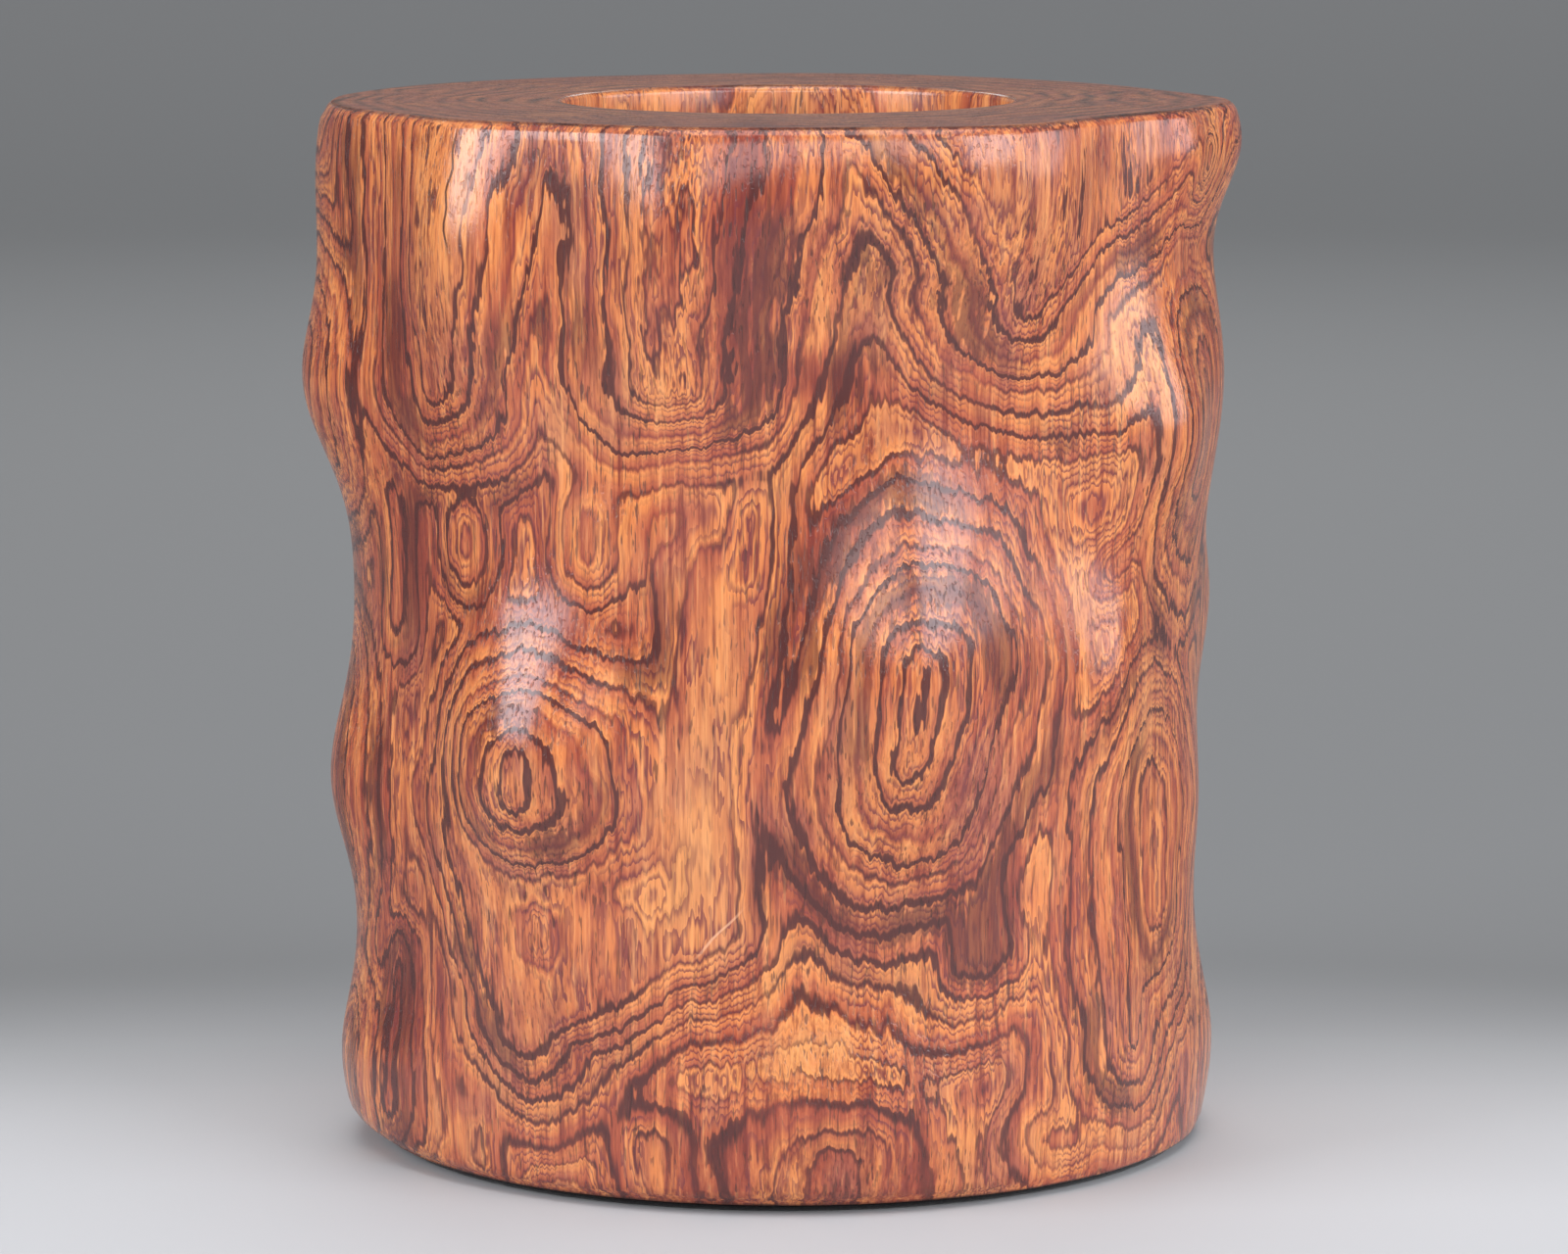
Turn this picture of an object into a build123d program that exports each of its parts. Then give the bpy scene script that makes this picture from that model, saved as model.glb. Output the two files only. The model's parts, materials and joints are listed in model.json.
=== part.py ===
from build123d import *
from math import cos, exp, radians, sin
import os

# Round pot for dip pens and brushes, worked from one hollowed trunk section with natural knobs on its wall.
# The origin is on the bore's axis, on the surface that the pot stands on. +Z points up out of the pen well,
# and the side at -Y is the front. Lengths are millimetres. Angles are degrees, measured round +Z from the
# front towards +X.

os.makedirs("parts", exist_ok=True)

# Driving dimensions
pot_height = 160.0
bore_radius = 34.5
felt_thickness = 1.3
well_floor_level = 19.0

# Wall between the knobs: a round trunk that stands a little off the bore's axis, towards -X
trunk_radius = 64.6
trunk_offset_base = -1.3
trunk_offset_top = -2.6
outline_point_count = 72
section_count = 27

# Each knob is a smooth swelling: angle, level, half width along the wall, half height, lean, rise.
# The lean turns the swelling's long way from upright, in degrees.
front_knobs = [
    (-34, 66, 15, 19, 0, 7.2),
    (16, 78, 15, 24, -8, 7.2),
    (-44, 138, 12, 26, 0, 5.4),
    (-13, 137, 12, 21, 0, 3.4),
    (27, 153, 17, 21, 0, 6.4),
    (60, 113, 14, 15, 0, 6.2),
    (66, 154, 8, 9, 0, 2.2),
    (46, 74, 12, 17, 0, 3.6),
    (-31, 36, 15, 12, 0, 2.2),
    (6, 14, 30, 15, 0, 3.0),
    (48, 28, 10, 19, 0, 2.0),
    (-22, 100, 7, 8, 0, 1.0),
    (0, 152, 24, 15, 0, 3.0),
]
left_knobs = [
    (-84, 149, 26, 24, 0, 5.0),
    (-80, 117, 20, 15, 0, 7.0),
    (-78, 57, 17, 15, 0, 4.8),
    (-78, 13, 28, 13, 0, 3.6),
    (-118, 84, 17, 19, 0, 4.4),
    (-122, 137, 18, 19, 0, 4.2),
]
right_knobs = [
    (86, 155, 19, 12, 0, 7.0),
    (86, 119, 18, 22, 0, 4.6),
    (104, 82, 16, 15, 0, 4.2),
    (78, 54, 13, 11, 0, 1.2),
    (100, 14, 30, 13, 0, 3.4),
    (126, 122, 17, 20, 0, 4.4),
]
back_knobs = [
    (172, 142, 22, 20, 0, 5.0),
    (-160, 104, 18, 23, 10, 5.2),
    (148, 84, 17, 22, 0, 5.2),
    (-136, 44, 18, 19, 0, 4.6),
    (178, 52, 19, 21, 0, 5.2),
    (140, 34, 15, 17, 0, 3.4),
    (-170, 12, 34, 15, 0, 3.0),
    (-106, 36, 11, 13, 0, 1.6),
]
knobs = front_knobs + left_knobs + right_knobs + back_knobs

# Turned ends: both follow the bore's axis
rim_flat_radius = 67.6
rim_turn_radius = 72.6
rim_turn_level = 155.0
rim_turn_curve = 6.0
bore_edge_rounding = 1.2
foot_flat_radius = 62.6
foot_turn_radius = 71.0
foot_turn_level = 10.5
foot_turn_curve = 11.8
turning_reach = 85.0
turning_overrun = 1.0

# Plug in the foot, where the trunk's pith was cut out: a flange in a rebate from below, and a spigot that
# fills the pith hole up to the well's floor
glue_gap = 0.1
plug_flange_radius = 31.0
plug_spigot_radius = 22.0
plug_underside_level = 7.0
plug_shoulder_level = 13.0
plug_edge_chamfer = 0.8
rebate_edge_chamfer = 1.0

# Felt ring under the foot
felt_outer_radius = 61.9
felt_inner_radius = 44.0


def knob_rise(knob, angle, level):
    """How far one knob lifts the wall at an angle and a level."""
    knob_angle, knob_level, half_width, half_height, lean, rise = knob
    turn = (angle - knob_angle + 180) % 360 - 180
    across = radians(turn) * trunk_radius
    up = level - knob_level
    side = across * cos(radians(lean)) + up * sin(radians(lean))
    along = up * cos(radians(lean)) - across * sin(radians(lean))
    return rise * exp(-((side / half_width) ** 2) - (along / half_height) ** 2)


def wall_radius(angle, level):
    """The wall's distance from the bore's axis, before its two ends are turned."""
    share = level / pot_height
    offset = trunk_offset_base + share * (trunk_offset_top - trunk_offset_base)
    return trunk_radius + offset * sin(radians(angle)) + sum(knob_rise(k, angle, level) for k in knobs)


def outline_at(level):
    """Points round the wall at one level, starting at the back, where the seam is."""
    points = []
    for step in range(outline_point_count):
        angle = 180 + 360 * step / outline_point_count
        radius = wall_radius(angle, level)
        points.append((radius * sin(radians(angle)), -radius * cos(radians(angle))))
    return points


def circles_of(part, radius):
    """The part's round edges of one radius, lowest first."""
    round_edges = part.edges().filter_by(GeomType.CIRCLE)
    return round_edges.filter_by(lambda edge: round(edge.radius - radius, 2) == 0).sort_by(Axis.Z)


# Pot body: the knobbed trunk section, its two ends turned, with the pen well bored from above
with BuildPart() as pot_body:
    for step in range(section_count):
        level = felt_thickness + (pot_height - felt_thickness) * step / (section_count - 1)
        with BuildSketch(Plane.XY.offset(level)):
            with BuildLine():
                Spline(*outline_at(level), periodic=True)
            make_face()
    loft()
    with BuildSketch(Plane.XZ):
        with BuildLine():
            rim_inner = (rim_flat_radius, pot_height)
            rim_outer = (rim_turn_radius, rim_turn_level)
            RadiusArc(rim_inner, rim_outer, rim_turn_curve)
            Polyline(
                rim_outer,
                (turning_reach, rim_turn_level),
                (turning_reach, pot_height + turning_overrun),
                (rim_flat_radius, pot_height + turning_overrun),
                rim_inner,
            )
        make_face()
    revolve(axis=Axis.Z, mode=Mode.SUBTRACT)
    with BuildSketch(Plane.XZ):
        with BuildLine():
            foot_inner = (foot_flat_radius, felt_thickness)
            foot_outer = (foot_turn_radius, foot_turn_level)
            RadiusArc(foot_inner, foot_outer, -foot_turn_curve)
            Polyline(
                foot_outer,
                (turning_reach, foot_turn_level),
                (turning_reach, 0),
                (foot_flat_radius, 0),
                foot_inner,
            )
        make_face()
    revolve(axis=Axis.Z, mode=Mode.SUBTRACT)
    with BuildSketch(Plane.XY.offset(well_floor_level)):
        Circle(bore_radius)
    extrude(amount=pot_height - well_floor_level, mode=Mode.SUBTRACT)
    with BuildSketch(Plane.XY):
        Circle(plug_spigot_radius)
    extrude(amount=well_floor_level, mode=Mode.SUBTRACT)
    with BuildSketch(Plane.XY):
        Circle(plug_flange_radius)
    extrude(amount=plug_shoulder_level, mode=Mode.SUBTRACT)
    fillet(circles_of(pot_body, bore_radius)[-1], bore_edge_rounding)
    chamfer(circles_of(pot_body, plug_flange_radius)[0], rebate_edge_chamfer)
pot_body.part.label = "pot_body"

# Base plug: a turned disc whose spigot makes the middle of the well's floor
with BuildPart() as base_plug:
    with BuildSketch(Plane.XY.offset(plug_underside_level)):
        Circle(plug_flange_radius - glue_gap)
    extrude(amount=plug_shoulder_level - plug_underside_level)
    with BuildSketch(Plane.XY.offset(plug_shoulder_level)):
        Circle(plug_spigot_radius - glue_gap)
    extrude(amount=well_floor_level - plug_shoulder_level)
    chamfer(circles_of(base_plug, plug_flange_radius - glue_gap)[0], plug_edge_chamfer)
base_plug.part.label = "base_plug"

# Felt ring: glued under the foot, and the only piece that touches the desk
with BuildPart() as felt_ring:
    with BuildSketch(Plane.XY):
        Circle(felt_outer_radius)
        Circle(felt_inner_radius, mode=Mode.SUBTRACT)
    extrude(amount=felt_thickness)
felt_ring.part.label = "felt_ring"

for piece in (pot_body, base_plug, felt_ring):
    export_step(piece.part, f"parts/{piece.part.label}.step")
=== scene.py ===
import json
from functools import partial
from math import radians

import bpy
import numpy as np
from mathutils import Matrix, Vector

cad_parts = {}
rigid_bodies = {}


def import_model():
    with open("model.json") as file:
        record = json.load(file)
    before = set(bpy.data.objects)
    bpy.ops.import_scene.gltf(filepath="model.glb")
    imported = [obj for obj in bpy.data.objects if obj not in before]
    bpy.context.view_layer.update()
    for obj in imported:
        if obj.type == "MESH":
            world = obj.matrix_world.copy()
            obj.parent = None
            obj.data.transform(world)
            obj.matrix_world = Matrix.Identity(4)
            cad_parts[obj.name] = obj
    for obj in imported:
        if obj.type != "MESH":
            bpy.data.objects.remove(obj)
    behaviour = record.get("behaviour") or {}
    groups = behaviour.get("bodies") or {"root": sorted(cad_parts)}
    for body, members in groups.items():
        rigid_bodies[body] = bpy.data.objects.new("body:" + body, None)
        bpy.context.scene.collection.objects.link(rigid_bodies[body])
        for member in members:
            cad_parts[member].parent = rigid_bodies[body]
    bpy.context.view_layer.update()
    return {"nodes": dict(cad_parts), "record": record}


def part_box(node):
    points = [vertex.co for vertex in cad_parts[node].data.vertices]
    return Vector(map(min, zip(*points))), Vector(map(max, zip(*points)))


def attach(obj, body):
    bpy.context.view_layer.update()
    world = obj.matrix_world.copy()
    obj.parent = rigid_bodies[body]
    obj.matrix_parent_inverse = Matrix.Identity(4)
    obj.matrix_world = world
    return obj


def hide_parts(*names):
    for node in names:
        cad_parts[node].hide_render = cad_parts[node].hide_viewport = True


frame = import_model()
print("frame loaded:", sorted(frame["nodes"]))

# Shape work is in millimetres and degrees, and meshes are written in metres. Angles go round +Z from the
# front.
millimetre = 0.001


# A node's lowest and highest corners.
def cornersOf(nodeName):
    return [np.array(corner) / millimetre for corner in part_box(nodeName)]


potHeight = cornersOf("pot_body")[1][2]
plugLow, plugHigh = cornersOf("base_plug")
feltHigh = cornersOf("felt_ring")[1]
footLevel = feltHigh[2]
boreRadius = next(m["dims"]["r_mm"] for m in frame["record"]["mounts"] if m["name"] == "pen_bore")


# An sRGB hex colour as linear red, green, blue, alpha.
def toLinear(hexColour):
    channels = [int(hexColour[i:i + 2], 16) / 255 for i in (1, 3, 5)]
    return [c / 12.92 if c <= 0.04045 else ((c + 0.055) / 1.055) ** 2.4 for c in channels] + [1.0]


# Adds a node and gives back one of its outputs. inputs are values or other nodes' outputs, in a list or by
# name, and settings are the node's own; a ramp's stops are places with a colour or a grey.
def addNode(tree, kind, inputs=(), output=0, stops=(), **settings):
    node = tree.nodes.new("ShaderNode" + kind)
    for name, value in settings.items():
        setattr(node, name, value)
    for place, value in (inputs.items() if isinstance(inputs, dict) else enumerate(inputs)):
        if isinstance(value, bpy.types.NodeSocket):
            tree.links.new(value, node.inputs[place])
        else:
            node.inputs[place].default_value = value
    for index, (place, colour) in enumerate(stops):
        element = node.color_ramp.elements[index] if index < 2 else node.color_ramp.elements.new(place)
        element.position = place
        element.color = toLinear(colour) if isinstance(colour, str) else [colour] * 3 + [1.0]
    return node.outputs[output] if node.outputs else node


# A new material and its empty node tree.
def newMaterial(name):
    material = bpy.data.materials.new(name)
    material.use_nodes = True
    material.node_tree.nodes.clear()
    return material, material.node_tree


# A mesh from a grid of points, rows by columns. Columns always join round, and rows join when closedRows is
# set. Two poles close the first and the last row with a fan each.
def gridPiece(name, points, closedRows=False, poles=(), attributes=None):
    rows, columns = points.shape[:2]
    firstRows = np.arange(rows if closedRows else rows - 1)
    row, column = np.meshgrid(firstRows, np.arange(columns), indexing="ij")
    nextRow, nextColumn = (row + 1) % rows, (column + 1) % columns
    corners = [row * columns + column, row * columns + nextColumn,
               nextRow * columns + nextColumn, nextRow * columns + column]
    faces = np.stack(corners, axis=-1).reshape(-1, 4).tolist()
    vertices = points.reshape(-1, 3)
    if len(poles):
        here, after, last = np.arange(columns), (np.arange(columns) + 1) % columns, (rows - 1) * columns
        first = np.full(columns, len(vertices))
        faces += np.stack([first, after, here], axis=-1).tolist()
        faces += np.stack([here + last, after + last, first + 1], axis=-1).tolist()
        vertices = np.concatenate([vertices, np.array(poles, dtype=float)])
    mesh = bpy.data.meshes.new(name)
    mesh.from_pydata((vertices * millimetre).tolist(), [], faces)
    for attributeName, values in (attributes or {}).items():
        layer = mesh.attributes.new(attributeName, "FLOAT", "POINT")
        layer.data.foreach_set("value", np.ascontiguousarray(values, dtype=np.float32).ravel())
    mesh.polygons.foreach_set("use_smooth", np.ones(len(mesh.polygons), dtype=bool))
    mesh.update()
    piece = bpy.data.objects.new(name, mesh)
    bpy.context.collection.objects.link(piece)
    return piece


# Points of a profile turned about Z: radius and level are rows, or rows by columns.
def turnedPoints(radius, level, columns):
    angle = np.radians(np.arange(columns) * 360 / columns)
    radius, level = (np.array(value)[:, None] * np.ones(columns) if np.ndim(value) == 1 else value
                     for value in (radius, level))
    return np.stack([radius * np.sin(angle), -radius * np.cos(angle), level], axis=-1)


# Points along a run of corners, each straight stretch divided into the number of steps given for it.
def dividedRun(corners, steps):
    stretches = [np.linspace(start, end, count, endpoint=False)
                 for start, end, count in zip(corners[:-1], corners[1:], steps)]
    return np.concatenate(stretches + [np.array(corners[-1:])]).T


# The lower of two surfaces, with the crease between them rounded over about this many millimetres.
def softLower(first, second, rounding):
    lower = np.minimum(first, second)
    overlap = np.exp((lower - first) / rounding) + np.exp((lower - second) / rounding)
    return lower - rounding * np.log(overlap)


# Smooth random swell between -1 and 1: a grid of seeded values, so many cells round the pot and up it,
# periodic round it and blended by cubic B-splines.
def smoothSwell(angle, level, seed, cellsRound, cellsUp):
    values = np.random.default_rng(seed).uniform(-1, 1, (cellsUp + 3, cellsRound))
    u = angle % 360 / 360 * cellsRound
    v = np.clip(level / potHeight, 0, 1) * cellsUp + 1
    i, j = np.floor(u).astype(int), np.clip(np.floor(v).astype(int), 1, cellsUp)
    weightsU, weightsV = ([(1 - t) ** 3 / 6, (3 * t ** 3 - 6 * t ** 2 + 4) / 6,
                           (-3 * t ** 3 + 3 * t ** 2 + 3 * t + 1) / 6, t ** 3 / 6] for t in (u - i, v - j))
    return sum(weightsU[a] * weightsV[b]
               * values[np.clip(j + b - 1, 0, cellsUp + 2), (i + a - 1) % cellsRound]
               for a in range(4) for b in range(4))


# Millimetres to the side of a place on the wall, and along from it, in a frame whose long way leans from
# upright towards larger angles.
def leaningFrame(angle, level, placeAngle, placeLevel, lean):
    across = np.radians((angle - placeAngle + 180) % 360 - 180) * pot["trunkRadius"]
    up = level - placeLevel
    side = across * np.cos(radians(lean)) - up * np.sin(radians(lean))
    return side, up * np.cos(radians(lean)) + across * np.sin(radians(lean))


# The wall is a knobbed trunk, and each knob is a smooth swelling: angle, level, half width, half height,
# lean, rise. A turned end is an arc between two points, radius and level, and the arc's own radius.
pot = {
    "columns": 400,
    "wallRows": 140,
    "trunkRadius": 64.6,
    "trunkOffsetBase": -1.3,
    "trunkOffsetTop": -2.6,
    "knobs": [
        (-34, 66, 15, 19, 0, 7.2), (16, 78, 15, 24, 8, 7.2), (-44, 138, 12, 26, 0, 5.4),
        (-13, 137, 12, 21, 0, 3.4), (27, 153, 17, 21, 0, 6.4), (60, 113, 14, 15, 0, 6.2),
        (66, 154, 8, 9, 0, 2.2), (46, 74, 12, 17, 0, 3.6), (-31, 36, 15, 12, 0, 2.2),
        (6, 14, 30, 15, 0, 3.0), (48, 28, 10, 19, 0, 2.0), (-22, 100, 7, 8, 0, 1.0),
        (0, 152, 24, 15, 0, 3.0), (-84, 149, 26, 24, 0, 5.0), (-80, 117, 20, 15, 0, 7.0),
        (-78, 57, 17, 15, 0, 4.8), (-78, 13, 28, 13, 0, 3.6), (-118, 84, 17, 19, 0, 4.4),
        (-122, 137, 18, 19, 0, 4.2), (86, 155, 19, 12, 0, 7.0), (86, 119, 18, 22, 0, 4.6),
        (104, 82, 16, 15, 0, 4.2), (78, 54, 13, 11, 0, 1.2), (100, 14, 30, 13, 0, 3.4),
        (126, 122, 17, 20, 0, 4.4), (172, 142, 22, 20, 0, 5.0), (-160, 104, 18, 23, -10, 5.2),
        (148, 84, 17, 22, 0, 5.2), (-136, 44, 18, 19, 0, 4.6), (178, 52, 19, 21, 0, 5.2),
        (140, 34, 15, 17, 0, 3.4), (-170, 12, 34, 15, 0, 3.0), (-106, 36, 11, 13, 0, 1.6),
    ],
    "rimTurn": ((67.6, potHeight), (72.6, 155.0), 6.0),
    "footTurn": ((62.6, footLevel), (71.0, 10.5), 11.8),
    "creaseRounding": 0.35,
    "bevelDrop": 1.4,
    "bevelInset": 1.3,
    "bevelBulge": 0.18,
    "bevelLift": 0.108,
    "bevelRows": 5,
    "rimRows": 23,
    "footEdge": 0.5,
    "footEdgeShape": [(1.0, 0.0), (0.2, 0.35)],  # inset and rise, as shares of the edge
    "boreRounding": 1.2,
    "boreRoundingRows": 6,
    "floorLevel": 19.0,
    "pithHoleRadius": 22.0,
    "shoulderLevel": 13.0,
    "rebateRadius": 31.0,
    "rebateChamfer": 1.0,
    "footFlatRadius": 61.0,
    "wellSteps": (32, 8, 3, 4, 4, 1, 12),
    "swell": 0.14,
    "swellCells": (11, 46, 20),  # seed, cells round, cells up
    "endGrainDepth": 0.25,
    "slopeGain": 1.6,
    # hairline marks on the wall: angle at the lower end, lowest and highest level, millimetres across for
    # each millimetre up, wander
    "crack": (-44.2, 140.0, 159.0, 0.0, 0.25),
    "scratch": (-12.5, 38.0, 46.0, 1.0, 0.2),
}

# The figure in the grain is a depth in millimetres below the trunk's last ring, the soft minimum of its
# eyes. An eye's depth grows away from an upright core: angle, level, lean, core's half length, millimetres a
# step across, millimetres a step up, roundness, start depth, flat core, skew, flare of the core's width with
# height. A patch tints the wood: angle, level, half width, half height, lean, paleness, boldness of the ring
# lines.
grain = {
    "warp": 2.4,
    "warpRoundCells": (3, 40, 12),  # seed, cells round, cells up
    "warpUpCells": (4, 48, 14),
    "rounding": 1.5,
    "tipRounding": 0.3,
    "coreRounding": 1.5,
    "skewReach": 5.0,
    "deepest": 38.0,
    "paleSwell": 0.35,
    "paleCells": (21, 30, 9),
    "boldSwell": 0.25,
    "boldCells": (22, 26, 12),
    # inside the wood: the share of the figure lost at the bore, millimetres of depth for each millimetre
    # inwards, and the bore's own tints
    "figureLost": 0.55,
    "inwardDepth": 0.9,
    "borePaleness": 0.7,
    "boreBoldness": -0.4,
    "frontEyes": [
        (-33.5, 65, 0, 3, 1.2, 1.0, 2, 0, 0, 0.15, -0.2), (15.5, 75, 8, 6, 1.0, 1.3, 2, 0, 1, 0.15, 0),
        (-46, 150, 6, 30, 1.0, 0.8, 2, 0, 2, 0, 0.12), (-13, 151, 5, 28, 1.15, 0.85, 2, 0, 2, 0, 0.10),
        (39, 163, 13, 30, 1.4, 1.0, 2, 0, 0, 0, 1.05), (71, 112, 0, 6, 1.0, 1.3, 2, 0, 0, 0, 0),
        (72, 152, 0, 1, 0.6, 0.7, 2, -4, 0, 0, 0), (60, 50, 0, 8, 1.1, 1.1, 2, 3, 2, 0, 0),
        (53, 27, 0, 4, 1.0, 1.1, 2, 9, 0, 0, 0), (45, 66, 0, 1, 1.0, 1.1, 2, 18, 0, 0, 0),
        (-45, 98, 0, 1, 0.8, 0.9, 2, 12, 0, 0, 0), (-25, 101, 0, 2, 0.9, 1.1, 2, 12, 0, 0, 0),
        (-6, 100, 16, 4, 0.8, 1.2, 2, 12, 0, 0, 0), (-33, 35, 16, 10, 1.1, 1.0, 2, 15.5, 3, 0, 0.85),
        (-32, 40, 0, 2, 1.4, 0.9, 2, 11.5, 0, 0, 0), (-10, 70, 3, 24, 1.0, 1.2, 2, 16, 4, 0, 0),
        (-82, 118, 0, 4, 1.0, 1.1, 2, 0, 0, 0, 0), (-82, 58, 0, 5, 1.0, 1.2, 2, 0, 0, 0, 0),
        (-78, 12, 0, 4, 1.0, 1.2, 2, 4, 0, 0, 0), (-45, 6, 0, 2, 1.1, 1.1, 2, 25, 0, 0, 0),
        (-17, 4, 0, 6, 1.2, 1.2, 2, 24, 0, 0, 0), (6, 3, 0, 6, 1.8, 1.2, 2, 21, 0, 0, 0),
        (40, 8, 90, 2, 1.0, 1.2, 2, 22, 0, 0, 0), (26, 42, -20, 4, 1.3, 1.0, 2, 19, 3, 0, 0),
        (-62, 20, 0, 10, 1.0, 1.2, 2, 15, 0, 0, 0), (-62, 94, 0, 8, 1.0, 1.2, 2, 14, 0, 0, 0),
        (50, 94, 60, 3, 1.0, 1.2, 2, 18, 0, 0, 0),
    ],
    "backEyes": [
        (172, 142, 6, 9, 1.1, 1.1, 1.9, 0, 0, 0.1, 0), (-160, 103, 10, 7, 1.0, 1.2, 1.8, 0, 0, -0.15, 0),
        (148, 84, -5, 6, 0.95, 1.15, 1.8, 0, 0, 0.2, 0), (-136, 45, 0, 3, 1.1, 1.0, 1.7, 0, 0, 0, -0.1),
        (178, 53, 8, 5, 1.0, 1.1, 1.8, 2, 0, 0, 0), (140, 33, 0, 3, 1.1, 1.0, 1.9, 6, 0, 0, 0),
        (-170, 8, 90, 12, 1.2, 1.1, 2, 12, 2, 0, 0), (-106, 35, 0, 4, 0.9, 1.1, 2, 9, 0, 0, 0),
        (126, 122, 5, 6, 1.0, 1.2, 1.8, 1, 0, -0.1, 0), (104, 82, 0, 4, 1.0, 1.1, 1.8, 0, 0, 0, 0),
        (100, 10, 90, 10, 1.4, 1.1, 2, 8, 0, 0, 0), (-118, 84, -6, 6, 1.0, 1.2, 1.8, 0, 0, 0.15, 0),
        (-122, 148, 8, 26, 1.1, 1.0, 2, 0, 2, 0, 0.12), (-148, 172, -14, 30, 1.3, 1.0, 2, 2, 0, 0, 0.9),
        (96, 156, 0, 4, 1.3, 1.0, 2, 4, 0, 0, 0), (110, 46, 0, 8, 1.0, 1.2, 2, 15, 4, 0, 0),
        (142, 165, 10, 28, 1.2, 1.0, 2, 1, 2, 0, 0.5), (-148, 74, 4, 18, 1.0, 1.2, 2, 15.5, 4, 0, 0),
        (164, 26, 60, 8, 1.1, 1.1, 2, 16, 4, 0, 0), (-128, 8, 0, 3, 1.3, 1.1, 2, 16, 0, 0, 0),
        (128, 6, 0, 3, 1.2, 1.2, 2, 15, 0, 0, 0), (-98, 102, 0, 5, 0.9, 1.1, 2, 12, 0, 0, 0),
        (-176, 80, 0, 3, 0.9, 1.0, 2, 12, 0, 0, 0), (88, 98, 0, 3, 0.9, 1.1, 2, 12, 0, 0, 0),
        (122, 60, -6, 16, 1.0, 1.2, 2, 15.5, 4, 0, 0),
    ],
    "frontPatches": [
        (-11, 62, 7, 27, 4, 1.4, -0.6), (-30, 41, 15, 8, 15, 0.9, -0.5), (-32, 40, 6, 5, 0, -1.2, 0.1),
        (-17, 47, 7, 7, 0, 0.5, -0.9), (-29, 117, 8, 8, 0, 0.9, -0.4), (-5, 107, 4, 10, 75, 0.7, -0.3),
        (50, 122, 8, 12, 20, 0.8, -0.2), (28, 151, 7, 12, -6, 0.9, -0.6), (-45, 146, 6, 20, 6, 0.4, -0.4),
        (-25, 101, 8, 7, 0, 0.5, -0.35), (-45, 98, 5, 5, 0, 0.2, -0.3), (-14, 99, 9, 11, 0, 0.25, -0.65),
        (56, 68, 8, 10, 40, 0.6, -0.1), (38, 92, 5, 18, 0, 0.4, -0.4), (46, 95, 10, 13, 0, 0.1, -0.6),
        (10, 28, 4, 22, 84, 0.5, -0.3), (-15, 121, 8, 6, 0, 0.6, -0.2), (-6, 140, 4, 24, 2, -1.7, 0.1),
        (3, 47, 5, 9, -25, -1.4, 0.3), (-56, 97, 4, 8, 0, -1.3, 0.3), (-62, 24, 5, 12, 0, -1.0, 0.2),
        (44, 40, 6, 14, 12, -0.4, 0), (26, 45, 10, 9, 0, -0.5, -0.1), (4, 12, 16, 9, 0, -0.9, 0.1),
        (-5, 19, 8, 3, 0, 0.1, -0.8), (7, 102, 5, 14, 25, -1.0, 0.2), (-56, 134, 5, 26, 4, -0.6, 0.1),
        (58, 42, 8, 12, 0, -0.6, -0.1), (70, 96, 8, 8, 0, -0.3, 0), (3, 124, 8, 4, 0, -1.5, 0.3),
        (0, 147, 7, 14, 0, -0.5, -0.35), (2, 6, 60, 7, 0, 0, -0.25), (46, 36, 22, 24, 0, -0.15, -0.3),
        (-52, 82, 4, 9, 0, -0.8, 0.3), (-18, 137, 7, 8, 0, -0.4, -0.1), (-14, 142, 6, 18, 5, 0, -0.5),
        (-46, 142, 5, 18, 6, 0, -0.3), (-35, 58, 20, 13, 0, 0, 0.5), (16, 72, 18, 26, 6, 0, 0.45),
        (-50, 113, 10, 7, 0, 0, 0.5), (-34, 134, 6, 17, 25, 0, 0.35), (-22, 118, 6, 12, -25, 0, 0.45),
        (-2, 113, 5, 16, 78, 0, 0.35), (20, 138, 6, 22, -48, 0, 0.45), (50, 133, 6, 20, 62, 0, 0.4),
        (-15, 29, 6, 28, 68, -0.15, 0.3), (-44, 24, 6, 14, -55, -0.1, 0.25), (24, 31, 4, 14, 95, 0, 0.25),
        (36, 18, 4, 16, 88, 0, 0.2), (58, 108, 8, 14, 0, 0.1, 0.35),
    ],
    "backPatches": [
        (165, 112, 10, 14, 0, 0.7, -0.4), (-149, 74, 8, 20, 4, 0.9, -0.5), (130, 98, 7, 14, 0, -0.7, 0.2),
        (-175, 30, 6, 14, 80, -0.6, 0.2), (118, 140, 8, 10, -20, 0.6, -0.3),
        (-108, 62, 6, 16, 0, -0.9, 0.1), (-138, 118, 8, 12, 0, 0.7, -0.2), (100, 60, 6, 14, 0, 0.6, -0.3),
        (150, 56, 8, 10, 20, -0.7, 0.3), (-95, 134, 6, 14, 0, -0.6, 0.1), (-120, 20, 12, 7, 0, 0.5, -0.3),
        (90, 36, 8, 9, 0, -0.6, 0.1), (-168, 142, 9, 9, 0, -0.5, 0.1), (146, 12, 12, 7, 0, 0.5, -0.2),
        (-98, 80, 6, 8, 0, 0.6, -0.1), (92, 134, 8, 9, 0, 0.4, 0), (172, 138, 20, 20, 0, 0, 0.4),
        (-160, 98, 16, 18, 0, 0, 0.4), (148, 80, 16, 20, 0, 0, 0.4), (-136, 40, 18, 14, 0, 0, 0.45),
        (178, 46, 16, 14, 0, 0, 0.35),
    ],
}


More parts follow.
